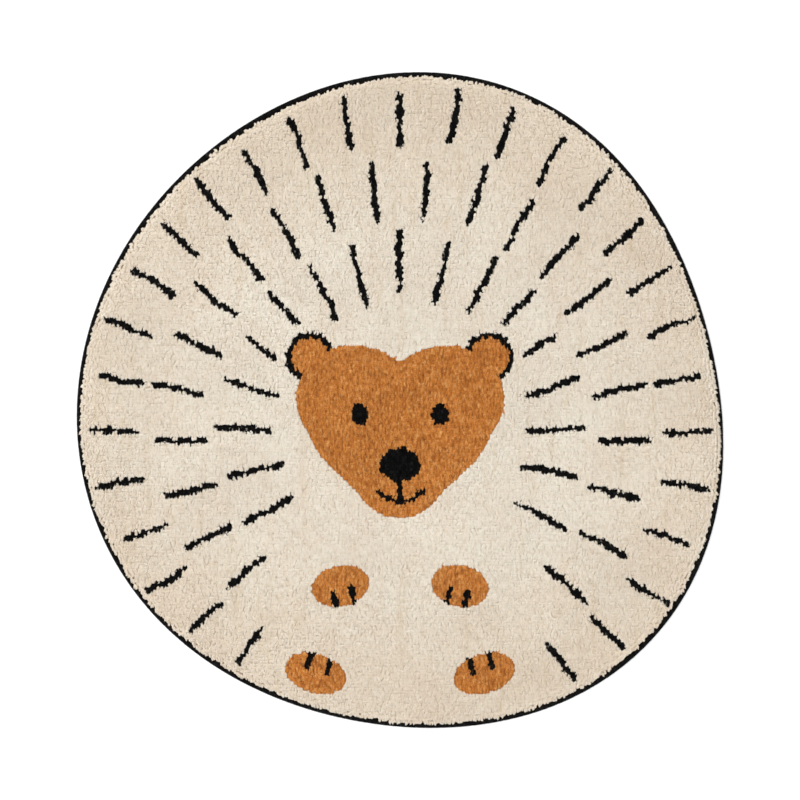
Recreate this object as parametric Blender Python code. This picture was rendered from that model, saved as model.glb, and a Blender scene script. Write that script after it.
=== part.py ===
"""A round kids rug: a thick cut-pile mat with a black overcast edge, lying flat with its pile up."""

import math

import bmesh
import bpy
from mathutils import Vector

SIDE_STEPS = 120  # steps round the rug

# The uneven round outline: its mean radius, and (waves round, height in m, turn in degrees).
MEAN_RADIUS = 0.5045
OUTLINE_WAVES = ((1, 0.014, 48.0), (2, 0.006, 132.0), (3, 0.014, 132.0), (4, 0.003, 150.0))

BINDING_THICK = 0.0050  # over the wrapped edge
BINDING_REACH = 0.0095  # how far the binding reaches in over the backing
BINDING_WALL = 0.0020  # outside the backing's edge
BINDING_LEG = 0.0011  # above and below the backing
GAP = 0.0003  # between the binding and the body

PILE_TOP = 0.0142
PILE_LEAN = 0.0036  # how far the outermost pile hangs out over the binding
SWELL = 0.0006  # unevenness of the pile's top
TOP_RINGS = (0.93, 0.80, 0.64, 0.48, 0.32, 0.16)  # shares of the radius


def radius(angle):
    waves = sum(height * math.cos(count * angle + math.radians(turn))
                for count, height, turn in OUTLINE_WAVES)
    return MEAN_RADIUS + waves


def outline():
    """The outline's points, centred on the origin, and the outward direction at each."""
    angles = [math.tau * k / SIDE_STEPS for k in range(SIDE_STEPS)]
    points = [Vector((math.cos(a), math.sin(a))) * radius(a) for a in angles]
    centre = Vector([(min(p[axis] for p in points) + max(p[axis] for p in points)) / 2
                     for axis in (0, 1)])
    points = [p - centre for p in points]
    outward = []
    for k in range(SIDE_STEPS):
        along = points[(k + 1) % SIDE_STEPS] - points[k - 1]
        outward.append(Vector((along.y, -along.x)).normalized())
    return points, outward


POINTS, OUTWARD = outline()


def swell(x, y):
    """Height of the pile's soft unevenness at a place on its top."""
    wave = math.sin(9.0 * x + 2.0 * y + 0.4) + math.sin(3.5 * x - 11.0 * y + 1.9)
    return SWELL * 0.5 * (wave + math.sin(16.0 * x + 13.0 * y) * 0.6)


def edge_ring(bm, inset, height):
    """A ring of corners that follows the outline, inset metres inside it."""
    return [bm.verts.new((*(p - out * inset), height)) for p, out in zip(POINTS, OUTWARD)]


def top_ring(bm, share):
    """A ring of corners on the uneven top, at this share of the way out from the middle."""
    return [bm.verts.new((p.x * share, p.y * share, PILE_TOP + swell(p.x * share, p.y * share)))
            for p in POINTS]


def join_rings(bm, lower, upper):
    for k in range(SIDE_STEPS):
        after = (k + 1) % SIDE_STEPS
        bm.faces.new((lower[k], lower[after], upper[after], upper[k]))


def finish(bm, name, colour, roughness):
    bmesh.ops.recalc_face_normals(bm, faces=bm.faces)
    bmesh.ops.triangulate(bm, faces=bm.faces)
    mesh = bpy.data.meshes.new(name)
    bm.to_mesh(mesh)
    bm.free()
    mesh.shade_smooth()
    mesh.set_sharp_from_angle(angle=math.radians(40))
    material = bpy.data.materials.new(name)
    material.use_nodes = True
    shader = material.node_tree.nodes["Principled BSDF"]
    shader.inputs["Base Color"].default_value = (*colour, 1.0)
    shader.inputs["Roughness"].default_value = roughness
    mesh.materials.append(material)
    body = bpy.data.objects.new(name, mesh)
    bpy.context.scene.collection.objects.link(body)
    return body


def tufted_body():
    """Backing and pile in one: a thin lip that the binding holds, and the rounded pile above it."""
    lip_low = BINDING_LEG + GAP
    lip_high = BINDING_THICK - BINDING_LEG - GAP
    lip_end = BINDING_WALL + GAP
    root = BINDING_REACH + GAP
    hang = root - PILE_LEAN
    section = (
        (root, 0.0),
        (root, lip_low),
        (lip_end + 0.0005, lip_low),
        (lip_end, (lip_low + lip_high) / 2),
        (lip_end + 0.0005, lip_high),
        (root, lip_high),
        (root, BINDING_THICK + GAP),
        (hang + 0.0008, BINDING_THICK + 0.0019),
        (hang, BINDING_THICK + 0.0040),
        (hang + 0.0012, BINDING_THICK + 0.0065),
        (hang + 0.0042, PILE_TOP - 0.0009),
        (hang + 0.0100, PILE_TOP - 0.0001),
    )
    bm = bmesh.new()
    rings = [edge_ring(bm, inset, height) for inset, height in section]
    rings += [top_ring(bm, share) for share in TOP_RINGS]
    for lower, upper in zip(rings, rings[1:]):
        join_rings(bm, lower, upper)
    bm.faces.new(rings[0])
    middle = bm.verts.new((0.0, 0.0, PILE_TOP + swell(0.0, 0.0)))
    for k in range(SIDE_STEPS):
        bm.faces.new((rings[-1][k], rings[-1][(k + 1) % SIDE_STEPS], middle))
    return finish(bm, "tufted_body", (0.74, 0.65, 0.52), 0.95)


def edge_binding():
    """The wrapped edge: rounded outside, and open inwards to hold the backing's lip."""
    top = BINDING_THICK
    section = (
        (BINDING_REACH, 0.0),
        (0.0018, 0.0),
        (0.0006, 0.0007),
        (0.0, top / 2),
        (0.0006, top - 0.0007),
        (0.0018, top),
        (BINDING_REACH, top),
        (BINDING_REACH, top - BINDING_LEG),
        (BINDING_WALL, top - BINDING_LEG),
        (BINDING_WALL, BINDING_LEG),
        (BINDING_REACH, BINDING_LEG),
    )
    bm = bmesh.new()
    rings = [edge_ring(bm, inset, height) for inset, height in section]
    for lower, upper in zip(rings, rings[1:] + rings[:1]):
        join_rings(bm, lower, upper)
    return finish(bm, "edge_binding", (0.008, 0.008, 0.008), 0.90)


for old in list(bpy.data.objects):
    bpy.data.objects.remove(old)
tufted_body()
edge_binding()
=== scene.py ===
import math

import bpy
import numpy as np
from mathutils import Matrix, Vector


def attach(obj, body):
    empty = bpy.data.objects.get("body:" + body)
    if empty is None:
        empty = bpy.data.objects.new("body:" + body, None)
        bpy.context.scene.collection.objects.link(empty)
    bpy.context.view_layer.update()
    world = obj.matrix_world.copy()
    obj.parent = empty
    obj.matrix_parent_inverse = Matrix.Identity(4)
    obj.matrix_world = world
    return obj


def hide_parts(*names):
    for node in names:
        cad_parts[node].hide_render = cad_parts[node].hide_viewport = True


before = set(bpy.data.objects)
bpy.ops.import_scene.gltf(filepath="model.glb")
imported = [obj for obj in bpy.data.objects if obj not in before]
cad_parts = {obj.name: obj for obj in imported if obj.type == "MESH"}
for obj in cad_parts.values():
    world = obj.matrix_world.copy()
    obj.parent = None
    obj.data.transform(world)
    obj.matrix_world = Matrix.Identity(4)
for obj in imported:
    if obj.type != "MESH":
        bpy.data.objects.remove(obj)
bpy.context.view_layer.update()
print("frame loaded:", sorted(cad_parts))

farAway = 9.0  # metres, further than anything here
nearlyFlat = 0.9  # a face lies flat when its normal's z is over this
mostStray = 2.0  # nothing random goes past this many spreads
yarnShift = 60.0  # the fibres start at a random place on each yarn, up to this far on


def deselectAll():
    if bpy.context.mode != "OBJECT":
        bpy.ops.object.mode_set(mode="OBJECT")
    bpy.ops.object.select_all(action="DESELECT")


def startPiece(name):
    # the primitive that was just added becomes this piece, alone in edit mode
    piece = bpy.context.object
    piece.name = name
    piece.data.name = name
    bpy.ops.object.mode_set(mode="EDIT")
    bpy.ops.mesh.select_mode(type="FACE")
    return piece


def pickFaces(piece, wanted):
    # selects the faces that the test wants, from edit mode and back
    bpy.ops.mesh.select_all(action="DESELECT")
    bpy.ops.object.mode_set(mode="OBJECT")
    for one in piece.data.polygons:
        one.select = bool(wanted(one))
    bpy.ops.object.mode_set(mode="EDIT")
    bpy.ops.mesh.select_mode(type="FACE")


def settle(piece, sharp=None):
    # back to object mode, its normals outward and the object at the origin, smooth up to that angle
    bpy.ops.mesh.select_all(action="SELECT")
    bpy.ops.mesh.normals_make_consistent(inside=False)
    deselectAll()
    piece.select_set(True)
    bpy.context.view_layer.objects.active = piece
    bpy.ops.object.transform_apply(location=True, rotation=True, scale=True)
    if sharp:
        bpy.ops.object.shade_smooth_by_angle(angle=math.radians(sharp))
    return piece


def meshArrays(piece):
    # the piece's points and triangles
    mesh = piece.data
    mesh.calc_loop_triangles()
    points = np.empty(len(mesh.vertices) * 3, np.float32)
    mesh.vertices.foreach_get("co", points)
    corners = np.empty(len(mesh.loop_triangles) * 3, np.int32)
    mesh.loop_triangles.foreach_get("vertices", corners)
    return points.reshape(-1, 3).astype(float), corners.reshape(-1, 3)


def joinCopies(name, corners, places):
    # one joined mesh of many moved copies: places is (copies, points, 3)
    copies, each = places.shape[:2]
    faces = (corners[None] + (np.arange(copies) * each)[:, None, None]).reshape(-1, 3)
    mesh = bpy.data.meshes.new(name)
    mesh.vertices.add(copies * each)
    mesh.vertices.foreach_set("co", places.astype(np.float32).ravel())
    mesh.loops.add(faces.size)
    mesh.loops.foreach_set("vertex_index", faces.astype(np.int32).ravel())
    mesh.polygons.add(len(faces))
    mesh.polygons.foreach_set("loop_start", np.arange(0, faces.size, 3, dtype=np.int32))
    mesh.update(calc_edges=True)
    mesh.shade_smooth()
    piece = bpy.data.objects.new(name, mesh)
    bpy.context.scene.collection.objects.link(piece)
    return piece


def addValues(piece, name, values):
    # a number for each point, that the material reads by name
    layer = piece.data.attributes.new(name, "FLOAT", "POINT")
    layer.data.foreach_set("value", values.astype(np.float32).ravel())


def addCells(piece, cellUv, count):
    # each copy gets its own small cell of the map. cellUv is (triangles, 3, 2), from 0 to 1
    side = math.ceil(math.sqrt(count))
    margin = 0.04
    cell = np.arange(count)
    corner = np.stack([cell % side, cell // side], -1)[:, None, None]
    uv = (corner + margin + (1 - 2 * margin) * cellUv[None]) / side
    layer = piece.data.uv_layers.new(name="OFBake")
    layer.uv.foreach_set("vector", uv.astype(np.float32).ravel())


def addYarnUv(piece, uv, shifts):
    # round the yarn across and along it up, started at another place on each copy
    layer = piece.data.uv_layers.new(name="Yarn")
    layer.uv.foreach_set("vector", (uv[None] + shifts[:, None, None]).astype(np.float32).ravel())


softWaves = {
    "count": 10,
    "sizes": (0.7, 1.6),  # shares of the size that is asked for
    "height": 4.4,  # about what they add up to
}


def softNoise(x, y, size, rng):
    # smooth random waves of about this size in metres, mostly from -1 to 1
    total = np.zeros(x.shape)
    for _ in range(softWaves["count"]):
        angle, phase = rng.uniform(0, math.tau, 2)
        rate = math.tau / (size * rng.uniform(*softWaves["sizes"]))
        total += np.sin((x * math.cos(angle) + y * math.sin(angle)) * rate + phase)
    return total / softWaves["height"]


# the rug's uneven round, as in the solids
rugOutline = {
    "meanRadius": 0.5045,
    # how many waves round it, their height, and their turn in degrees
    "waves": ((1, 0.014, 48.0), (2, 0.006, 132.0), (3, 0.014, 132.0), (4, 0.003, 150.0)),
    "steps": 120,
    "bindingReach": 0.0095,  # the black edge covers the backing this far in
    "bindingThick": 0.0050,
    "gap": 0.0003,  # between the black edge and the backing
    "pathSteps": 6000,  # for even spacing along it
}


def outlineRadius(angle):
    total = rugOutline["meanRadius"]
    for count, height, turn in rugOutline["waves"]:
        total = total + height * np.cos(count * angle + math.radians(turn))
    return total


def outlineCentre():
    steps = rugOutline["steps"]
    angles = np.arange(steps) * math.tau / steps
    x, y = np.cos(angles) * outlineRadius(angles), np.sin(angles) * outlineRadius(angles)
    return np.array([(x.min() + x.max()) / 2, (y.min() + y.max()) / 2])


middle = outlineCentre()


def outlinePoints(steps, inset):
    # points round the rug, inset metres inside its outline, and the outward direction at each
    angles = np.arange(steps) * math.tau / steps
    reach = outlineRadius(angles)
    x, y = np.cos(angles) * reach - middle[0], np.sin(angles) * reach - middle[1]
    alongX, alongY = np.roll(x, -1) - np.roll(x, 1), np.roll(y, -1) - np.roll(y, 1)
    length = np.hypot(alongX, alongY)
    out = np.stack([alongY / length, -alongX / length], 1)
    return np.stack([x, y], 1) - out * inset, out


def spacedAlong(inset, pitch, shift=0.0, stray=0.0, rng=None):
    # places at an even pitch along the outline, and the outward direction at each
    line, out = outlinePoints(rugOutline["pathSteps"], inset)
    line, out = np.r_[line, line[:1]], np.r_[out, out[:1]]
    along = np.r_[0, np.cumsum(np.hypot(*np.diff(line, axis=0).T))]
    count = int(along[-1] / pitch)
    at = np.arange(count) + shift
    if stray:
        at = at + rng.normal(0, stray, count)
    at = (at % count) * along[-1] / count
    spots = np.stack([np.interp(at, along, line[:, k]) for k in (0, 1)], 1)
    outs = np.stack([np.interp(at, along, out[:, k]) for k in (0, 1)], 1)
    return spots, outs / np.hypot(*outs.T)[:, None]


def insetOf(x, y):
    # how far inside the outline a place lies, and the outward direction there
    px, py = x + middle[0], y + middle[1]
    angle, reach = np.arctan2(py, px), np.hypot(px, py)
    edge, nudge = outlineRadius(angle), 1e-4
    slope = (outlineRadius(angle + nudge) - outlineRadius(angle - nudge)) / (2 * nudge)
    tilt = np.arctan2(slope, edge)
    return (edge - reach) * np.cos(tilt), np.stack([np.cos(angle - tilt), np.sin(angle - tilt)], -1)


# the hedgehog, in metres from the middle of the rug
hedgehog = {
    "line": 0.0092,  # width of a drawn line
    "waver": 0.0016,  # how far a line strays from its path
    "waverSize": 0.030,
    "thicken": 0.0006,  # how much thicker or thinner it gets on each side
    "thickenSize": 0.018,
    "seed": 5,
    # rounds that make the heart of its face: middle, half width, half height, turn
    "head": ((-0.070, 0.004, 0.090, 0.082, 0.0), (0.070, 0.004, 0.090, 0.082, 0.0),
             (-0.028, -0.070, 0.095, 0.075, -38.0), (0.028, -0.070, 0.095, 0.075, 38.0),
             (0.0, -0.045, 0.135, 0.085, 0.0), (0.0, -0.118, 0.066, 0.062, 0.0)),
    "headBlend": 0.006,  # how softly they run together
    "ears": ((-0.138, 0.068), (0.138, 0.068)),
    "earRadius": 0.034,
    "clear": 0.020,  # kept free of quills round the face and ears
    "eyes": ((-0.062, -0.020), (0.062, -0.020)),
    "eyeSize": (0.0135, 0.0175),
    "nose": (0.0, -0.098, 0.032, 0.026),
    "lipDrop": (-0.120, -0.146),
    "smile": (0.0, -0.108, 0.046, 222.0, 318.0),
    "paws": ((-0.092, -0.285, 0.044, 0.032, 14.0), (0.092, -0.285, 0.044, 0.032, -14.0),
             (-0.130, -0.420, 0.048, 0.030, -18.0), (0.130, -0.420, 0.048, 0.030, 18.0)),
    "toes": (-1, -1, 1, 1),  # at the lower or upper edge of each paw
    "toeLine": 0.0092,
    "toeSpread": 0.32,  # shares of the paw's half width and height
    "toeReach": (0.22, 0.95),
    "toeOver": 0.002,  # how far a toe line may run out of the paw
    # rows of quills: from, to, how many, first and last angle
    "quills": ((0.200, 0.282, 17, -34.0, 214.0), (0.308, 0.384, 22, -46.0, 226.0),
               (0.410, 0.478, 29, -58.0, 238.0)),
    "quillMiddle": (0.0, -0.060),
    "quillFan": 0.5,  # they fan out from that middle, and by this radius from the rug's own
    "quillShift": 0.006,  # in and out
    "quillBow": 0.003,
}


def toEllipse(x, y, cx, cy, a, b, turn=0.0):
    c, s = math.cos(math.radians(turn)), math.sin(math.radians(turn))
    px, py = (x - cx) * c + (y - cy) * s, (y - cy) * c - (x - cx) * s
    near = np.hypot(px / a, py / b) + 1e-9
    return near * (near - 1) / (np.hypot(px / a ** 2, py / b ** 2) + 1e-9)


def toLine(x, y, points, width):
    best = np.full(x.shape, farAway)
    for (ax, ay), (bx, by) in zip(points, points[1:]):
        dx, dy = bx - ax, by - ay
        along = np.clip(((x - ax) * dx + (y - ay) * dy) / (dx * dx + dy * dy), 0, 1)
        best = np.minimum(best, np.hypot(x - ax - along * dx, y - ay - along * dy))
    return best - width / 2


def arcPoints(cx, cy, radius, first, last, count=12):
    angles = np.radians(np.linspace(first, last, count))
    return [(cx + radius * math.cos(a), cy + radius * math.sin(a)) for a in angles]


def quillLines():
    lines = []
    cx, cy = hedgehog["quillMiddle"]
    for row, (near, far, count, first, last) in enumerate(hedgehog["quills"]):
        for k in range(count):
            angle = math.radians(first + (last - first) * k / (count - 1))
            c, s = math.cos(angle), math.sin(angle)
            stretch = float(outlineRadius(angle)) / rugOutline["meanRadius"]
            shift = hedgehog["quillShift"] * math.sin(k * 2.3 + near * 40)
            ends = []
            for reach in (near + shift, far + shift):
                share, out = 1 - reach / hedgehog["quillFan"], reach * stretch
                ends.append(np.array([cx * share + out * c, cy * share + out * s]))
            bow = np.array([-s, c]) * hedgehog["quillBow"] * math.sin(k * 1.7 + row)
            lines.append((tuple(ends[0]), tuple((ends[0] + ends[1]) / 2 + bow), tuple(ends[1])))
    return lines


def toeLines():
    # two short lines in each paw, from inside it to its edge
    lines = []
    for (cx, cy, a, b, turn), way in zip(hedgehog["paws"], hedgehog["toes"]):
        c, s = math.cos(math.radians(turn)), math.sin(math.radians(turn))
        for across in (-hedgehog["toeSpread"] * a, hedgehog["toeSpread"] * a):
            lines.append([(cx + across * c - up * way * b * s, cy + across * s + up * way * b * c)
                          for up in hedgehog["toeReach"]])
    return lines


def headEdge(x, y):
    # how far outside the heart of the face a place lies
    soft, most = hedgehog["headBlend"], 60
    return -soft * np.log(sum(np.exp(-np.clip(toEllipse(x, y, *lobe) / soft, -most, most))
                              for lobe in hedgehog["head"]))


def ochreEdge(x, y):
    return np.minimum.reduce([headEdge(x, y)] + [toEllipse(x, y, *paw) for paw in hedgehog["paws"]])


def yarnAt(x, y):
    # 0 cream, 1 ochre, 2 black
    width = hedgehog["line"]
    kind = np.zeros(x.shape, np.int8)
    ear = np.minimum(*[toEllipse(x, y, ex, ey, hedgehog["earRadius"], hedgehog["earRadius"])
                       for ex, ey in hedgehog["ears"]])
    head = headEdge(x, y)
    # the quills waver, and are thicker and thinner by places, as if drawn by hand
    rng = np.random.default_rng(hedgehog["seed"])
    wx, wy = (hedgehog["waver"] * softNoise(x, y, hedgehog["waverSize"], rng) for _ in range(2))
    quill = np.full(x.shape, farAway)
    for line in quillLines():
        quill = np.minimum(quill, toLine(x + wx, y + wy, line, width))
    quill = quill + hedgehog["thicken"] * softNoise(x, y, hedgehog["thickenSize"], rng)
    kind[(quill < 0) & (np.minimum(ear, head) > hedgehog["clear"])] = 2
    kind[ear < 0] = 1
    kind[np.abs(ear) < width / 2] = 2
    ochre = ochreEdge(x, y)
    kind[ochre < 0] = 1
    toe = np.minimum.reduce([toLine(x, y, line, hedgehog["toeLine"]) for line in toeLines()])
    kind[(toe < 0) & (ochre < hedgehog["toeOver"])] = 2
    marks = [toEllipse(x, y, ex, ey, *hedgehog["eyeSize"]) for ex, ey in hedgehog["eyes"]]
    marks.append(toEllipse(x, y, *hedgehog["nose"]))
    marks.append(toLine(x, y, ((0.0, hedgehog["lipDrop"][0]), (0.0, hedgehog["lipDrop"][1])), width))
    marks.append(toLine(x, y, arcPoints(*hedgehog["smile"]), width))
    kind[np.minimum.reduce(marks) < 0] = 2
    return kind


backingLook = {
    "lipInset": 0.0023,  # the lip that the black edge holds
    "lipLow": 0.0014,
    "lipHigh": 0.0036,
    "top": 0.0046,
    "steps": 240,
    "sharp": 40.0,  # degrees, for its edges
    # its map: the middle and scale of the underside and of the top, and a strip for each narrow ring
    "mapUnder": (0.5, 0.90),
    "mapTop": (0.075, 0.11),
    "strips": (0.006, 0.018, 0.030, 0.964, 0.976, 0.988),
    "stripStart": 0.17,
    "stripLong": 0.80,
    "stripWide": 0.008,
}


def ringOf(face):
    return round(face.center.z, 4), round(face.normal.z)


def mapBacking(piece):
    # the underside fills the map, and what the pile and the edge hide lies in its margins
    mesh = piece.data
    layer = mesh.uv_layers.new(name="OFBake")
    most = 4  # corners of a ring's faces
    rings = sorted({ringOf(face) for face in mesh.polygons if len(face.vertices) <= most})
    for face in mesh.polygons:
        spots = [mesh.vertices[v].co for v in face.vertices]
        if len(spots) > most:
            centre, scale = backingLook["mapUnder" if face.normal.z < 0 else "mapTop"]
            places = [(centre + spot.x * scale, centre + spot.y * scale) for spot in spots]
        else:
            low = backingLook["strips"][rings.index(ringOf(face))]
            faceTurn = math.atan2(face.center.y, face.center.x) / math.tau
            sizes = [math.hypot(spot.x, spot.y) + spot.z for spot in spots]
            places = []
            for spot, size in zip(spots, sizes):
                turn = (math.atan2(spot.y, spot.x) / math.tau - faceTurn + 0.5) % 1 - 0.5
                across = (size - min(sizes)) / (max(sizes) - min(sizes))
                along = backingLook["stripStart"] + backingLook["stripLong"] * (faceTurn % 1 + turn)
                places.append((along, low + backingLook["stripWide"] * across))
        for loop, place in zip(face.loop_indices, places):
            layer.data[loop].uv = place


def makeBacking():
    deselectAll()
    steps = backingLook["steps"]
    bpy.ops.mesh.primitive_circle_add(vertices=steps, radius=0.5, fill_type="NGON")
    disc = bpy.context.object
    points, _ = outlinePoints(steps, backingLook["lipInset"])
    for vertex in disc.data.vertices:
        k = round((math.atan2(vertex.co.y, vertex.co.x) % math.tau) / math.tau * steps) % steps
        vertex.co = (*points[k], backingLook["lipLow"])
    piece = startPiece("backing_cloth")
    bpy.ops.mesh.select_all(action="SELECT")
    bpy.ops.mesh.extrude_region_move(
        TRANSFORM_OT_translate={"value": (0, 0, backingLook["lipHigh"] - backingLook["lipLow"])})
    step = rugOutline["bindingReach"] + rugOutline["gap"] - backingLook["lipInset"]
    for level, rise in ((backingLook["lipHigh"], backingLook["top"] - backingLook["lipHigh"]),
                        (backingLook["lipLow"], -backingLook["lipLow"])):
        pickFaces(piece, lambda f: abs(f.normal.z) > nearlyFlat and abs(f.center.z - level) < 1e-4
                  and len(f.vertices) == steps)
        bpy.ops.mesh.inset(thickness=step, depth=0)
        bpy.ops.mesh.extrude_region_move(TRANSFORM_OT_translate={"value": (0, 0, rise)})
    mapBacking(settle(piece, backingLook["sharp"]))
    return piece


backing = makeBacking()
print("backing cloth:", len(backing.data.polygons), "faces")

pileLook = {
    "pitch": 0.0045,  # between tufts
    "stretch": (0.83, 1.21),  # tufts are longer along the nap than across
    "root": 0.0048,  # height where the tufts leave the backing
    "rimInset": 0.0018,  # from the black edge to the outermost tufts
    "top": 0.0141,
    "swell": 0.0003,
    # as in the solids: rate along x and along y, start, share of the swell
    "swellWaves": ((9.0, 2.0, 0.4, 1.0), (3.5, -11.0, 1.9, 1.0), (16.0, 13.0, 0.0, 0.6)),
    "bloom": 0.00305,  # half width of a tuft where its yarn opens
    "bloomAt": 0.70,  # share of its height where it is widest
    "crown": 0.03,  # how far its middle stands above that, between the cut ends
    "uneven": 0.00018,  # of tuft heights
    "ragged": 0.00022,  # of single cut ends
    "nap": (0.0, -0.0030),  # how far the tips lie over, towards the feet
    "napStray": 0.00025,
    "bow": 1.7,  # a tuft bends more towards its tip
    # mm of black edge that show past the pile, every 30 degrees from the right, and how that varies
    "edgeShows": (4.7, 7.9, 7.8, 8.2, 9.7, 7.7, 6.1, 6.5, 7.8, 6.8, 8.8, 8.6, 4.7),
    "edgeWaver": 0.0010,
    "edgeWaverSize": 0.05,
    "edgeStray": 0.0014,
    "edgeShort": (0.25, 0.0024),  # this share of the rim's tufts stays this much further in
    "shortRow": 0.55,  # height of the lower row at the rim
    "shortDrop": 0.0012,  # of its roots
    "shortIn": 0.0006,
    # how the tufts are set out
    "fieldReach": 0.52,  # half the side of the square that is filled before the rim cuts it
    "fieldStray": 0.11,  # of the pitch
    "lineUp": (0.46, 0.85),  # beside an ochre part: from how near, and how much
    "keepIn": 1.45,  # pitches between the rim's first row and the field
    "rimRow": 0.85,  # pitches between the rows at the rim, and between their tufts
    "rimPitch": 0.80,
    "rimStray": 0.08,
    # drifts in the lean, each with the size of its places
    "leanDrift": (0.22, 0.10),
    "sideDrift": (0.0010, 0.16),
    "stroked": (0.15, 0.24),  # the higher the first, the more of the pile was stroked into ripples
    "rippleSize": 0.022,
    "rippleSide": 0.0011,
    "rippleLong": 0.0016,
    "rimDepth": 0.013,  # how far in the splay of the rim's tufts is felt
    "rimDrop": (0.0018, 0.005),  # the pile is lower at the rim: by how much, and how far in
    "bloomOut": (0.87, 0.5),  # share of the bloom that reaches out, at the ring and at the tips
    # how single tufts differ
    "spread": (0.88, 1.12),  # of the bloom
    "limits": (-0.0007, 0.0005),  # of every stray in height
    "tipStray": 0.00045,  # sideways
    "ringStray": 0.00018,
    "rimSpread": (0.90, 0.003),  # of the bloom, in the outermost 3 mm
    "blackSpread": 0.94,
    "blackDrop": 0.0004,
    "colourStray": 0.0008,  # how raggedly one colour ends at the next
    "border": 0.0030,  # this near to black, yarn ends stray into each other
    "borderLean": 0.0010,
    "borderSpread": (-0.22, 0.14),
    "tone": (0.6, 0.7, 2.2, 0.18),  # of tufts, of their points, the most, and of all together
    "rippleShade": (0.20, -0.2, 0.8),  # painted shade, darker in ripples, between these limits
    "rise": (1.0, 0.45, 0.4),  # painted shade depth of the tips, the ring and the middle, and 0 at the root, where the yarn is painted darkest
    "rimWarm": (0.40, 0.22, 0.03),  # darker, warmer cream, from this far in to this near the rim
    "endWarm": (0.17, 0.12, 0.37),  # and from this far up or down
    "creamParts": 4,  # meshes that the cream is shared out to
    "seed": 7,
}


def swellAt(x, y):
    wave = sum(np.sin(alongX * x + alongY * y + start) * height
               for alongX, alongY, start, height in pileLook["swellWaves"])
    return pileLook["swell"] * wave


def edgeShowsAt(out):
    # how wide the black edge shows past the pile, for each outward direction
    angle = np.degrees(np.arctan2(out[:, 1], out[:, 0])) % 360
    shows = pileLook["edgeShows"]
    return np.interp(angle, np.linspace(0, 360, len(shows)), shows) / 1000


def tuftRoots(rng):
    # an even field of tufts, and rows that follow the rim
    pitch = pileLook["pitch"]
    start = rugOutline["bindingReach"] + pileLook["rimInset"]
    wide, long = pileLook["stretch"]
    reach = pileLook["fieldReach"]
    rows = np.arange(-reach, reach, pitch * long * math.sqrt(3) / 2)
    y, x = np.meshgrid(rows, np.arange(-reach, reach, pitch * wide), indexing="ij")
    x = x + (np.arange(len(rows)) % 2)[:, None] * pitch * wide / 2
    x, y = x.ravel(), y.ravel()
    x = x + rng.normal(0, pileLook["fieldStray"], x.size) * pitch
    y = y + rng.normal(0, pileLook["fieldStray"], y.size) * pitch
    # the tufts beside an ochre part stand in line with its edge
    near, step = ochreEdge(x, y), 1e-5
    slopeX, slopeY = ochreEdge(x + step, y) - near, ochreEdge(x, y + step) - near
    lineFrom, lineShare = pileLook["lineUp"]
    push = np.clip(pitch * lineFrom - np.abs(near), 0, None) * np.sign(near) * lineShare / step
    x, y = x + slopeX * push, y + slopeY * push
    inset, _ = insetOf(x, y)
    keep = inset > start + pitch * pileLook["keepIn"]
    rims = [spacedAlong(start + row * pitch * pileLook["rimRow"], pitch * pileLook["rimPitch"],
                        shift, pileLook["rimStray"], rng)[0]
            for row, shift in ((0, 0.0), (1, 0.5), (0, 0.5))]
    tufts = np.concatenate([np.stack([x[keep], y[keep]], 1), *rims])
    tall = np.ones(len(tufts))
    tall[-len(rims[-1]):] = pileLook["shortRow"]  # it lies below and fills the rim's side
    return tufts, tall


bedLook = {
    "top": 0.0102,
    "side": 1.05,  # of the square grid that it is cut from
    "cell": 0.0062,
    "inset": 0.0026,  # from the outermost tufts
    "uneven": 0.0004,
    "sharp": 50.0,  # degrees
    # painted shade in the gaps between the tufts
    "gapShade": (0.86, 0.84, 0.80),
    "fibre": (1500.0, 3.0),  # scale and detail of the noise
    "fibreTint": (0.66, 0.61, 0.55),
    "fibreBump": 0.6,
    "rough": (0.88, 1.0),
    "bump": (0.7, 0.001),
}


def makeBed():
    # the lower pile, packed close, that shows between the tufts
    rng = np.random.default_rng(pileLook["seed"] + 1)
    edge = rugOutline["bindingReach"] + pileLook["rimInset"] + bedLook["inset"]
    across = round(bedLook["side"] / bedLook["cell"])
    deselectAll()
    bpy.ops.mesh.primitive_grid_add(x_subdivisions=across, y_subdivisions=across, size=bedLook["side"],
                                    location=(0, 0, bedLook["top"]))
    piece = startPiece("pile_bed")
    bpy.ops.object.mode_set(mode="OBJECT")
    bpy.ops.object.transform_apply(location=True)
    points, _ = meshArrays(piece)
    inset, out = insetOf(points[:, 0], points[:, 1])
    outside = inset < edge
    points[:, :2] += np.where(outside, inset - edge, 0.0)[:, None] * out
    points[:, 2] += swellAt(points[:, 0], points[:, 1])
    points[:, 2] += rng.uniform(-bedLook["uneven"], bedLook["uneven"], len(points))
    piece.data.vertices.foreach_set("co", points.astype(np.float32).ravel())
    bpy.ops.object.mode_set(mode="EDIT")
    pickFaces(piece, lambda f: all(outside[v] for v in f.vertices))
    bpy.ops.mesh.delete(type="FACE")
    bpy.ops.mesh.select_all(action="SELECT")
    bpy.ops.mesh.region_to_loop()
    bpy.ops.mesh.extrude_edges_move(
        TRANSFORM_OT_translate={"value": (0, 0, pileLook["root"] - bedLook["top"])})
    bpy.ops.mesh.edge_face_add()
    points, corners = meshArrays(settle(piece, bedLook["sharp"]))
    kind = yarnAt(points[:, 0], points[:, 1])
    for number, name in enumerate(("cream", "ochre", "black")):
        addValues(piece, name, kind == number)
    print("pile bed:", len(corners), "triangles")
    return piece


bed = makeBed()


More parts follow.
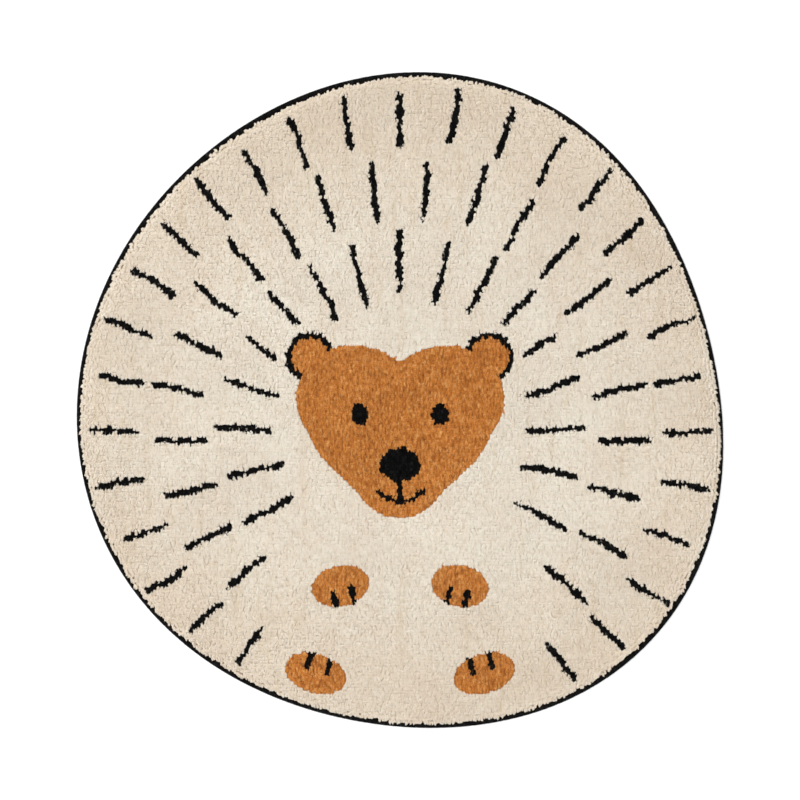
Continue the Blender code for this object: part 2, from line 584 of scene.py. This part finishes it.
def tuftTemplate():
    # one tuft of yarn: a narrow root, a wide bloom, and three cut ends
    bloomAt, anyAngle = pileLook["bloomAt"], 3.1
    deselectAll()
    bpy.ops.mesh.primitive_cone_add(vertices=6, radius1=0.0, radius2=1.0, depth=bloomAt,
                                    end_fill_type="NGON", location=(0, 0, bloomAt / 2))
    piece = startPiece("tuft_template")
    pickFaces(piece, lambda f: f.normal.z > nearlyFlat)
    bpy.ops.mesh.poke(offset=pileLook["crown"])
    bpy.ops.mesh.tris_convert_to_quads(face_threshold=anyAngle, shape_threshold=anyAngle)
    pickFaces(piece, lambda f: f.normal.z > nearlyFlat)
    bpy.ops.mesh.poke(offset=1 - bloomAt - pileLook["crown"] / 4)
    return settle(piece)


tuftMap = {
    "topMiddle": (0.5, 0.62),
    "topScale": (0.48, 0.36),
    "stemRise": (0.02, 0.20),  # the strip below it, with a triangle for each side of the stem
    "stemSides": (0.06, 0.94),
    "fibresTop": (0.28, 1.3),  # how the fibres are drawn out over the cut top
    "fibresUp": (2, 3),  # and up the stem: rate and start
}


def tuftCells(points, corners):
    # the tuft's own little map: its top seen from above, and its stem as a strip below
    atRoot = (points[:, 2] < 0.1)[corners]
    uv = np.empty((*corners.shape, 2))
    for axis in (0, 1):
        across = points[corners][..., axis] * tuftMap["topScale"][axis]
        uv[..., axis] = tuftMap["topMiddle"][axis] + across
    stems = np.flatnonzero(atRoot.any(axis=1))
    rootRise, ringRise = tuftMap["stemRise"]
    for order, face in enumerate(stems):
        ring = 0
        for k in range(3):
            if atRoot[face, k]:
                uv[face, k] = ((order + 0.5) / len(stems), rootRise)
            else:
                uv[face, k] = ((order + tuftMap["stemSides"][ring]) / len(stems), ringRise)
                ring += 1
    return uv


def tuftYarnUv(points, corners):
    # up the stem the fibres run along, and the cut top shows them end on, splayed a little
    atRoot = (points[:, 2] < 0.1)[corners]
    uv = points[corners][..., :2] * tuftMap["fibresTop"]
    turns = (np.arctan2(points[:, 1], points[:, 0]) / math.tau)[corners]
    rate, first = tuftMap["fibresUp"]
    for face in np.flatnonzero(atRoot.any(axis=1)):
        ring = ~atRoot[face]
        start = turns[face, ring][0]
        uv[face, :, 0] = start + (turns[face] - start + 0.5) % 1 - 0.5
        uv[face, ~ring, 0] = uv[face, ring, 0].mean()
        uv[face, :, 1] = points[corners[face], 2] * rate + first
    return uv


def fade(value, start, end):
    # 0 at the start, 1 at the end
    return np.clip((value - start) / (end - start), 0, 1)


def growPile():
    rng = np.random.default_rng(pileLook["seed"])
    template = tuftTemplate()
    points, corners = meshArrays(template)
    # the template's root, ring, middle and tips are told apart by where they are
    px, py, pz = points.T
    outer, aboveRoot = np.hypot(px, py), pz > 0.1
    ring, centre = outer > 0.9, (outer < 0.05) & aboveRoot
    tips = (pz > 0.9) & ~centre
    tufts, tall = tuftRoots(rng)
    total, each = len(tufts), len(points)
    x, y = tufts.T
    inset, out = insetOf(x, y)
    start = rugOutline["bindingReach"] + pileLook["rimInset"]
    depth = np.clip(inset - start, 0, None)
    # the nap: a common lean, soft drifts, and each tuft's own stray
    share, size = pileLook["leanDrift"]
    lean = np.array(pileLook["nap"])[None] * (1 + share * softNoise(x, y, size, rng))[:, None]
    share, size = pileLook["sideDrift"]
    lean[:, 0] += share * softNoise(x, y, size, rng)
    lean += rng.normal(0, pileLook["napStray"], (total, 2))
    # in some places the pile has been stroked into small ripples
    share, size = pileLook["stroked"]
    stroked = np.clip(softNoise(x, y, size, rng) + share, 0, 1)
    ripple = stroked * softNoise(x, y, pileLook["rippleSize"], rng)
    lean[:, 0] += pileLook["rippleSide"] * stroked * softNoise(x, y, pileLook["rippleSize"], rng)
    lean[:, 1] += pileLook["rippleLong"] * ripple
    # near the rim the tufts splay out over the black edge, as far as it shows on that side
    bloom, ringShare = pileLook["bloom"], pileLook["bloomAt"] ** pileLook["bow"]
    waver = pileLook["edgeWaver"] * softNoise(x, y, pileLook["edgeWaverSize"], rng)
    share, size = pileLook["edgeShort"]
    spare = start - edgeShowsAt(out) - waver + rng.normal(0, pileLook["edgeStray"], total)
    spare = spare - size * (rng.random(total) < share) - pileLook["shortIn"] * (tall < 1)
    ringOut, tipOut = pileLook["bloomOut"]
    wanted = np.minimum((spare - ringOut * bloom) / ringShare, spare - tipOut * bloom)
    lean += out * ((wanted - (lean * out).sum(1)) * np.exp(-depth / pileLook["rimDepth"]))[:, None]
    root = np.where(tall < 1, pileLook["root"] - pileLook["shortDrop"], pileLook["root"])
    share, size = pileLook["rimDrop"]
    height = pileLook["top"] + swellAt(x, y) - root - share * np.exp(-depth / size)
    height = (height + np.clip(rng.normal(0, pileLook["uneven"], total), *pileLook["limits"])) * tall
    # the thin black yarn sits a little lower, and the cream closes in over it
    stray = pileLook["colourStray"]
    kind = yarnAt(x + rng.normal(0, stray, total), y + rng.normal(0, stray, total))
    height = height - pileLook["blackDrop"] * (kind == 2)
    # where black meets another colour the yarn ends stray into each other
    border, step = np.zeros(total, bool), pileLook["border"]
    for stepX, stepY in ((step, 0), (-step, 0), (0, step), (0, -step)):
        border |= (yarnAt(x + stepX, y + stepY) == 2) != (kind == 2)
    lean += rng.normal(0, pileLook["borderLean"], (total, 2)) * border[:, None]
    # every point of every tuft strays a little, the cut ends most
    turn = rng.uniform(0, math.tau, total)
    c, s = np.cos(turn)[:, None], np.sin(turn)[:, None]
    wide = bloom * rng.uniform(*pileLook["spread"], (total, each))
    wide *= np.where(kind == 2, pileLook["blackSpread"], 1.0)[:, None]
    share, size = pileLook["rimSpread"]
    wide *= np.where(depth < size, share, 1.0)[:, None]
    wide *= 1 + rng.uniform(*pileLook["borderSpread"], (total, each)) * border[:, None]
    stretchX, stretchY = pileLook["stretch"]
    bend = np.clip(pz, 0, 1)[None] ** pileLook["bow"]
    places = np.empty((total, each, 3))
    places[..., 0] = x[:, None] + (px * c - py * s) * wide * stretchX + lean[:, :1] * bend
    places[..., 1] = y[:, None] + (px * s + py * c) * wide * stretchY + lean[:, 1:] * bend
    stray = (np.where(tips, pileLook["tipStray"], pileLook["ringStray"]) * aboveRoot)[None, :, None]
    places[..., :2] += np.clip(rng.normal(0, 1, (total, each, 2)), -mostStray, mostStray) * stray
    places[..., 2] = root[:, None] + pz[None] * height[:, None]
    ragged = np.clip(rng.normal(0, pileLook["ragged"], (total, each)), *pileLook["limits"])
    places[..., 2] += ragged * aboveRoot
    byTuft, byPoint, most, spread = pileLook["tone"]
    tuftTone = rng.normal(0, byTuft, total)[:, None]
    tone = 0.5 + spread * np.clip(tuftTone + rng.normal(0, byPoint, (total, each)), -most, most)
    # the cream is darker and warmer towards the rim, and above and below the animal
    rimWarm, rimFrom, rimTo = pileLook["rimWarm"]
    endWarm, endFrom, endTo = pileLook["endWarm"]
    warm = rimWarm * fade(inset, rimFrom, rimTo) + endWarm * fade(np.abs(y), endFrom, endTo)
    tone = tone - (warm * (kind == 0))[:, None]
    # painted shade where the pile is stroked into ripples
    share, least, most = pileLook["rippleShade"]
    tone = tone - share * np.clip(ripple, least, most)[:, None]
    # painted shade: the tufts are painted darker from their tips down to their roots
    rise = np.select((tips, ring, centre), pileLook["rise"], 0.0)
    rise = np.broadcast_to(rise, (total, each))
    parts = [("pile_ochre", kind == 1), ("pile_black", kind == 2)]
    creamParts = pileLook["creamParts"]
    cuts = np.quantile(y[kind == 0], np.linspace(0, 1, creamParts + 1))
    cuts[0], cuts[-1] = -farAway, farAway
    for k in range(creamParts):
        parts.append((f"pile_cream_{k + 1}", (kind == 0) & (y >= cuts[k]) & (y < cuts[k + 1])))
    cellUv, yarnUv = tuftCells(points, corners), tuftYarnUv(points, corners)
    shifts = rng.uniform(0, yarnShift, (total, 2))
    made = []
    for name, chosen in parts:
        piece = joinCopies(name, corners, places[chosen])
        addValues(piece, "tone", tone[chosen])
        addValues(piece, "rise", rise[chosen])
        addYarnUv(piece, yarnUv, shifts[chosen])
        addCells(piece, cellUv, int(chosen.sum()))
        made.append(piece)
        print(f"  {name}: {int(chosen.sum())} tufts, {len(piece.data.polygons)} triangles")
    bpy.data.objects.remove(template)
    print("cut pile:", total, "tufts")
    return made


pile = growPile()

edgeLook = {
    "pitch": 0.0032,
    "pitchStray": 0.02,
    "yarn": 0.00105,
    "flat": (1.70, 0.62),  # the yarn is pressed wider than high
    "slant": 0.0022,
    "short": 0.0002,  # how much the lower leg of a wrap stops short of the edge's reach
    "overPile": 0.0011,  # how much further in the upper leg goes
    "sink": 0.00012,  # how much further in some wraps sit
    "tone": 0.12,
    "sides": 6,
    "turns": 6,
    "plies": (0.5, 2.5, 6.0),  # fibres round the yarn, how they twist, and along it
    # a wrap's little map: start and length along it, then round it
    "wrapMap": (0.02, 0.96, 0.16, 0.80),
    "mostTurns": 1.25,  # round a wrap, where a face crosses the start
    "endMap": (0.1, 0.06, 40.0),  # where the cut ends lie in that map, and their scale
    "seed": 21,
}


def wrapTemplate():
    # one wrap of yarn over the edge: a leg under, round the outside, a leg over. x runs inwards
    yarn, reach = edgeLook["yarn"], rugOutline["bindingReach"] - edgeLook["short"]
    wide, thin = edgeLook["flat"]
    low = yarn * thin
    deselectAll()
    bpy.ops.mesh.primitive_circle_add(vertices=edgeLook["sides"], radius=yarn, fill_type="NGON",
                                      location=(reach, 0, low), rotation=(0, math.pi / 2, 0))
    piece = startPiece("wrap_template")
    bpy.ops.mesh.select_all(action="SELECT")
    bpy.ops.transform.resize(value=(1, wide, thin), center_override=(reach, 0, low))
    bend = rugOutline["bindingThick"] / 2
    bpy.ops.mesh.extrude_region_move(TRANSFORM_OT_translate={"value": (bend - reach, 0, 0)})
    bpy.ops.mesh.spin(steps=edgeLook["turns"], angle=-math.pi, center=(bend, 0, bend), axis=(0, 1, 0))
    upper = reach - bend + edgeLook["overPile"]
    bpy.ops.mesh.extrude_region_move(TRANSFORM_OT_translate={"value": (upper, 0, 0)})
    bpy.ops.mesh.select_all(action="SELECT")
    bpy.ops.mesh.remove_doubles(threshold=0.00001)
    return settle(piece)


def wrapCells(points, corners):
    # along the wrap across, and round the yarn up. The two cut ends share a corner
    bend = rugOutline["bindingThick"] / 2
    px, py, pz = points.T
    turned = np.arctan2(bend - px, pz - bend)  # 0 on top, half a turn below
    level = np.where(px > bend, np.abs(pz - bend), np.hypot(px - bend, pz - bend))
    level = level - (bend - edgeLook["yarn"] * edgeLook["flat"][1])
    arc = math.pi * bend
    leg = rugOutline["bindingReach"] - bend
    along = np.where(px > bend, np.where(pz < bend, leg - (px - bend), leg + arc + px - bend),
                     leg + (1 - turned / math.pi) * arc) / (2 * leg + arc + edgeLook["overPile"])
    about = (np.arctan2(py, level) / math.tau + 0.5)[corners]
    about = np.where(about.max(1, keepdims=True) - about > 0.5, about + 1, about)
    along = along[corners]
    around, twist, rate = edgeLook["plies"]
    yarnUv = np.stack([about * around + along * twist, along * rate], -1)
    left, wide, low, high = edgeLook["wrapMap"]
    share = np.clip(about / edgeLook["mostTurns"], 0, 1)
    uv = np.stack([left + wide * along, low + high * share], -1)
    flat = np.ptp(along, axis=1) < 1e-3  # the cut ends
    across, up, scale = edgeLook["endMap"]
    uv[flat, :, 0] = across + py[corners[flat]] * scale
    uv[flat, :, 1] = up + level[corners[flat]] * scale
    return uv, yarnUv


def makeEdge():
    rng = np.random.default_rng(edgeLook["seed"])
    template = wrapTemplate()
    points, corners = meshArrays(template)
    spots, outs = spacedAlong(0.0, edgeLook["pitch"], 0.0, edgeLook["pitchStray"], rng)
    side = np.stack([-outs[:, 1], outs[:, 0]], 1)
    px, py, pz = points.T
    count = len(spots)
    slide = py[None] + edgeLook["slant"] * (pz[None] / rugOutline["bindingThick"] - 0.5)
    inward = (px - px.min())[None] + np.abs(rng.normal(0, edgeLook["sink"], count))[:, None]
    places = np.empty((count, len(points), 3))
    sideways = side[:, None] * slide[..., None]
    places[..., :2] = spots[:, None] - outs[:, None] * inward[..., None] + sideways
    places[..., 2] = np.clip(pz, 0, rugOutline["bindingThick"])[None]
    piece = joinCopies("edge_overcast", corners, places)
    tone = 0.5 + edgeLook["tone"] * np.clip(rng.normal(0, 1, count), -mostStray, mostStray)
    addValues(piece, "tone", np.repeat(tone, len(points)))
    addValues(piece, "rise", np.ones(count * len(points)))
    cellUv, yarnUv = wrapCells(points, corners)
    addYarnUv(piece, yarnUv, rng.uniform(0, yarnShift, (count, 2)))
    addCells(piece, cellUv, count)
    bpy.data.objects.remove(template)
    print("overcast edge:", count, "wraps,", len(piece.data.polygons), "triangles")
    return piece


edge = makeEdge()

noTint = (1.0, 1.0, 1.0)


def addNode(tree, kind, inputs=None, **settings):
    # an input is a constant, or the output of another node
    node = tree.nodes.new("ShaderNode" + kind)
    for name, value in settings.items():
        setattr(node, name, value)
    for name, value in (inputs or {}).items():
        if isinstance(value, bpy.types.NodeSocket):
            tree.links.new(value, node.inputs[name])
        else:
            node.inputs[name].default_value = value
    return node


def newMaterial(name, roughness, sheen=0.0, shine=0.15):
    material = bpy.data.materials.new(name)
    material.use_nodes = True
    tree = material.node_tree
    shader = tree.nodes["Principled BSDF"]
    shader.inputs["Roughness"].default_value = roughness
    shader.inputs["Sheen Weight"].default_value = sheen
    shader.inputs["Sheen Roughness"].default_value = 0.55
    shader.inputs["Specular IOR Level"].default_value = shine
    return material, tree, shader


def ramp(tree, value, stops):
    node = addNode(tree, "ValToRGB", {"Fac": value})
    points = node.color_ramp.elements
    while len(points) < len(stops):
        points.new(0.5)
    for point, (place, colour) in zip(points, stops):
        point.position = place
        point.color = (*colour, 1)
    return node.outputs["Color"]


def tint(tree, colour, value, stops):
    inputs = {"Factor": 1.0, "A": colour, "B": ramp(tree, value, stops)}
    return addNode(tree, "Mix", inputs, data_type="RGBA", blend_type="MULTIPLY").outputs["Result"]


def readValue(tree, name):
    return addNode(tree, "Attribute", attribute_name=name).outputs["Fac"]


def addNoise(tree, vector, scale, detail, roughness=0.5):
    inputs = {"Vector": vector, "Scale": scale, "Detail": detail, "Roughness": roughness}
    return addNode(tree, "TexNoise", inputs)


def stretch(tree, vector, scale, turn=0.0):
    inputs = {"Vector": vector, "Rotation": (0.0, 0.0, math.radians(turn)), "Scale": scale}
    return addNode(tree, "Mapping", inputs).outputs["Vector"]


def maths(tree, operation, first, second=0.5):
    return addNode(tree, "Math", {0: first, 1: second}, operation=operation).outputs["Value"]


def varyRoughness(tree, shader, value, atZero, atOne):
    spread = addNode(tree, "MapRange", {"Value": value, "To Min": atZero, "To Max": atOne})
    tree.links.new(spread.outputs["Result"], shader.inputs["Roughness"])


def addBump(tree, shader, height, strength, depth):
    bump = addNode(tree, "Bump", {"Strength": strength, "Distance": depth, "Height": height})
    tree.links.new(bump.outputs["Normal"], shader.inputs["Normal"])


# the grain of all yarns, and their painted shade streaks and marks; their colours are in yarnLooks
yarnGrainAndShade = {
    "blotchDetail": 3.0,
    # painted shade drawn out along the nap: scale of both, turn in degrees, stretch, detail
    "shadeStreaks": (310.0, 8.0, 0.28, 1.5),
    "marks": (90.0, 4.0, 0.11, 2.0),
    # fibres along each yarn, on its own map: stretch, detail, roughness
    "fibres": ((30.0, 2.2, 1.0), 4.0, 0.65),
    "roughSpread": (0.08, 0.06),  # below and above the yarn's own
    "bumpDepth": 0.00012,
}


def yarnMaterial(name, look):
    material, tree, shader = newMaterial(name, look["roughness"], look["sheen"], look["shine"])
    place = addNode(tree, "TexCoord").outputs["Object"]
    colour = ramp(tree, readValue(tree, "tone"), look["tones"])
    # painted shade, darker down each tuft towards its root
    colour = tint(tree, colour, readValue(tree, "rise"), look["depth"])
    blotch = addNoise(tree, place, look["blotchScale"], yarnGrainAndShade["blotchDetail"])
    colour = tint(tree, colour, blotch.outputs["Fac"], look["blotch"])
    # painted shade: short dark streaks where the cut ends lie over along the nap, and longer dark marks
    # in brushed places
    for kind in ("shadeStreaks", "marks"):
        scale, turn, drawn, detail = yarnGrainAndShade[kind]
        napShade = addNoise(tree, stretch(tree, place, (1.0, drawn, 0.5), turn), scale, detail)
        colour = tint(tree, colour, napShade.outputs["Fac"], look[kind])
    yarnMap = addNode(tree, "UVMap", uv_map="Yarn").outputs["UV"]
    scale, detail, roughness = yarnGrainAndShade["fibres"]
    fibre = addNoise(tree, stretch(tree, yarnMap, scale), 1.0, detail, roughness).outputs["Fac"]
    tree.links.new(tint(tree, colour, fibre, look["fibres"]), shader.inputs["Base Color"])
    below, above = yarnGrainAndShade["roughSpread"]
    varyRoughness(tree, shader, fibre, look["roughness"] - below, min(look["roughness"] + above, 1.0))
    addBump(tree, shader, fibre, look["bump"], yarnGrainAndShade["bumpDepth"])
    return material


# tones: along the random "tone"; depth: painted shade, darker from a yarn's tip down to its root; the
# rest: along their noise
yarnLooks = {
    "cream": {
        "roughness": 0.92, "sheen": 0.15, "shine": 0.15, "bump": 0.8, "blotchScale": 11.0,
        "tones": ((0.0, (0.84, 0.76, 0.655)), (0.3, (0.885, 0.828, 0.735)), (0.65, (0.918, 0.874, 0.80)),
                  (1.0, (0.94, 0.91, 0.85))),
        "depth": ((0.0, (0.74, 0.70, 0.64)), (0.45, (0.95, 0.935, 0.91)), (1.0, noTint)),
        "blotch": ((0.34, (0.970, 0.943, 0.925)), (0.64, noTint)),
        "shadeStreaks": ((0.30, (0.89, 0.87, 0.83)), (0.46, (0.965, 0.955, 0.94)), (0.60, noTint)),
        "marks": ((0.53, noTint), (0.63, (0.988, 0.976, 0.960)), (0.74, (0.945, 0.915, 0.87))),
        "fibres": ((0.36, (0.74, 0.70, 0.64)), (0.50, (0.96, 0.955, 0.945)), (0.62, noTint)),
    },
    "ochre": {
        "roughness": 0.90, "sheen": 0.10, "shine": 0.15, "bump": 0.8, "blotchScale": 22.0,
        "tones": ((0.08, (0.50, 0.165, 0.023)), (0.5, (0.79, 0.325, 0.070)), (0.90, (0.98, 0.56, 0.20))),
        "depth": ((0.0, (0.6, 0.5, 0.4)), (0.45, (0.84, 0.78, 0.70)), (1.0, noTint)),
        "blotch": ((0.30, (0.88, 0.86, 0.84)), (0.70, noTint)),
        "shadeStreaks": ((0.28, (0.56, 0.46, 0.34)), (0.44, (0.86, 0.81, 0.73)), (0.60, noTint)),
        "marks": ((0.54, noTint), (0.72, (0.91, 0.88, 0.85))),
        "fibres": ((0.36, (0.58, 0.48, 0.38)), (0.50, (0.94, 0.92, 0.90)), (0.62, noTint)),
    },
    "black": {
        "roughness": 0.90, "sheen": 0.0, "shine": 0.05, "bump": 0.8, "blotchScale": 22.0,
        "tones": ((0.10, (0.0015, 0.0015, 0.0015)), (0.5, (0.0072, 0.0070, 0.0068)),
                  (0.90, (0.021, 0.020, 0.019))),
        "depth": ((0.0, (0.6, 0.6, 0.6)), (1.0, noTint)),
        "blotch": ((0.30, (0.9, 0.9, 0.9)), (0.70, noTint)),
        "shadeStreaks": ((0.35, (0.75, 0.75, 0.75)), (0.65, noTint)),
        "marks": ((0.40, noTint), (0.70, (0.9, 0.9, 0.9))),
        "fibres": ((0.30, (0.5, 0.5, 0.5)), (0.55, noTint), (0.75, (1.8, 1.8, 1.8))),
    },
}


clothLook = {
    "light": (0.70, 0.62, 0.49),
    "shadeBetweenThreads": (0.30, 0.25, 0.18),  # painted shade, low down between the threads
    "darkest": (0.84, 0.82, 0.79),  # tint of the darkest threads
    "thread": 0.0026,
    "stray": 0.0028,  # how far the threads stray from straight
    "straySize": (22.0, 3.0),  # scale and detail of the noise
    "crossing": 0.42,  # how deep a thread dips where it passes under
    "hair": (900.0, 2.0),
    "hairTint": ((0.3, (0.88, 0.87, 0.85)), (0.7, noTint)),
    "hairBump": 0.25,
    "rough": (0.98, 0.84),  # low down, and on top of the threads
    "bump": (0.8, 0.0008),
}


def clothMaterial():
    # a plain weave: each thread passes over the next one and under the one after
    material, tree, shader = newMaterial("backingCloth", 0.9, 0.1)
    place = addNode(tree, "TexCoord").outputs["Object"]
    stray = addNoise(tree, place, *clothLook["straySize"]).outputs["Color"]
    inputs = {0: stray, 1: (clothLook["stray"],) * 3, 2: place}
    strayed = addNode(tree, "VectorMath", inputs, operation="MULTIPLY_ADD").outputs["Vector"]
    split = addNode(tree, "SeparateXYZ", {"Vector": strayed})
    waves, tones = [], []
    for axis in ("X", "Y"):
        turns = maths(tree, "DIVIDE", split.outputs[axis], clothLook["thread"])
        waves.append(maths(tree, "SINE", maths(tree, "MULTIPLY", turns, math.pi)))
        own = {"W": maths(tree, "ADD", maths(tree, "FLOOR", turns), 0.5)}  # each thread has its own tone
        tones.append(addNode(tree, "TexWhiteNoise", own, noise_dimensions="1D").outputs["Value"])
    crossing = clothLook["crossing"]
    cross = maths(tree, "MULTIPLY", maths(tree, "MULTIPLY", *waves), crossing)
    backs = [maths(tree, "MULTIPLY", maths(tree, "ABSOLUTE", wave), 1 - crossing) for wave in waves]
    warp = maths(tree, "ADD", backs[0], cross)
    weft = maths(tree, "SUBTRACT", backs[1], cross)
    height = maths(tree, "MAXIMUM", warp, weft)
    inputs = {"Factor": maths(tree, "GREATER_THAN", warp, weft), "A": tones[1], "B": tones[0]}
    thread = addNode(tree, "Mix", inputs).outputs["Result"]
    light = clothLook["light"]
    # painted shade where the weave lies low, between the threads
    colour = ramp(tree, height, ((0.12, clothLook["shadeBetweenThreads"]), (0.50, light), (1.0, light)))
    colour = tint(tree, colour, thread, ((0.0, clothLook["darkest"]), (1.0, noTint)))
    hair = addNoise(tree, place, *clothLook["hair"]).outputs["Fac"]
    tree.links.new(tint(tree, colour, hair, clothLook["hairTint"]), shader.inputs["Base Color"])
    varyRoughness(tree, shader, height, *clothLook["rough"])
    raised = maths(tree, "ADD", height, maths(tree, "MULTIPLY", hair, clothLook["hairBump"]))
    addBump(tree, shader, raised, *clothLook["bump"])
    return material


def bedMaterial():
    # the same yarns, with painted shade: darkened as if deep in the pile, and darker still in the gaps
    # between the tufts
    material, tree, shader = newMaterial("pileBed", 0.95)
    colour = (0.0, 0.0, 0.0, 1.0)
    for name, look in yarnLooks.items():
        # each yarn's middle tone, darkened by its painted depth shade
        shade, deepShade = look["tones"][1][1], look["depth"][1][1]
        own = (*(one * other for one, other in zip(shade, deepShade)), 1.0)
        inputs = {"Factor": readValue(tree, name), "A": colour, "B": own}
        colour = addNode(tree, "Mix", inputs, data_type="RGBA").outputs["Result"]
    place = addNode(tree, "TexCoord").outputs["Object"]
    inputs = {"Vector": place, "Scale": 1 / pileLook["pitch"]}
    tuft = addNode(tree, "TexVoronoi", inputs).outputs["Distance"]
    # painted shade, darker towards the gaps between the tufts
    colour = tint(tree, colour, tuft, ((0.0, noTint), (0.8, bedLook["gapShade"])))
    fibre = addNoise(tree, place, *bedLook["fibre"]).outputs["Fac"]
    colour = tint(tree, colour, fibre, ((0.32, bedLook["fibreTint"]), (0.62, noTint)))
    tree.links.new(colour, shader.inputs["Base Color"])
    varyRoughness(tree, shader, tuft, *bedLook["rough"])
    raised = maths(tree, "SUBTRACT", maths(tree, "MULTIPLY", fibre, bedLook["fibreBump"]), tuft)
    addBump(tree, shader, raised, *bedLook["bump"])
    return material


yarns = {name: yarnMaterial(name + "Yarn", look) for name, look in yarnLooks.items()}
backing.data.materials.append(clothMaterial())
bed.data.materials.append(bedMaterial())
edge.data.materials.append(yarns["black"])
for piece in pile:
    piece.data.materials.append(yarns[piece.name.split("_")[1]])
print("materials made")

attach(backing, "root")
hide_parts("tufted_body")
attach(edge, "root")
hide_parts("edge_binding")
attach(bed, "root")
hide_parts("tufted_body")
for piece in pile:
    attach(piece, "root")
    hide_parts("tufted_body")

studio = {
    "floor": (0.94, 0.94, 0.94),
    "floorSize": 14.0,
    "floorTop": -0.0005,
    "sky": 1.14,
    "key": 383.0,
    "keyPlace": (-4.6, 1.5, 8.0),
    "keySize": 7.0,
    "cameraHeight": 3.44,
    "lens": 100.0,
}

deselectAll()
bpy.ops.mesh.primitive_plane_add(size=studio["floorSize"], location=(0, 0, studio["floorTop"]))
floor = bpy.context.object
floor.name = "studio_floor"
floorMaterial, _, floorShader = newMaterial("studioFloor", 0.9)
floorShader.inputs["Base Color"].default_value = (*studio["floor"], 1)
floor.data.materials.append(floorMaterial)

world = bpy.data.worlds.new("studioWorld")
bpy.context.scene.world = world
world.use_nodes = True
world.node_tree.nodes["Background"].inputs["Color"].default_value = (1, 1, 1, 1)
world.node_tree.nodes["Background"].inputs["Strength"].default_value = studio["sky"]

bpy.ops.object.light_add(type="AREA", location=studio["keyPlace"])
key = bpy.context.object
key.data.energy = studio["key"]
key.data.size = studio["keySize"]
key.rotation_euler = (Vector((0, 0, 0)) - key.location).to_track_quat("-Z", "Y").to_euler()

bpy.ops.object.camera_add(location=(0, 0, studio["cameraHeight"]), rotation=(0, 0, 0))
camera = bpy.context.object
camera.data.lens = studio["lens"]
bpy.context.scene.camera = camera
bpy.context.scene.view_settings.view_transform = "Standard"

bpy.context.view_layer.update()
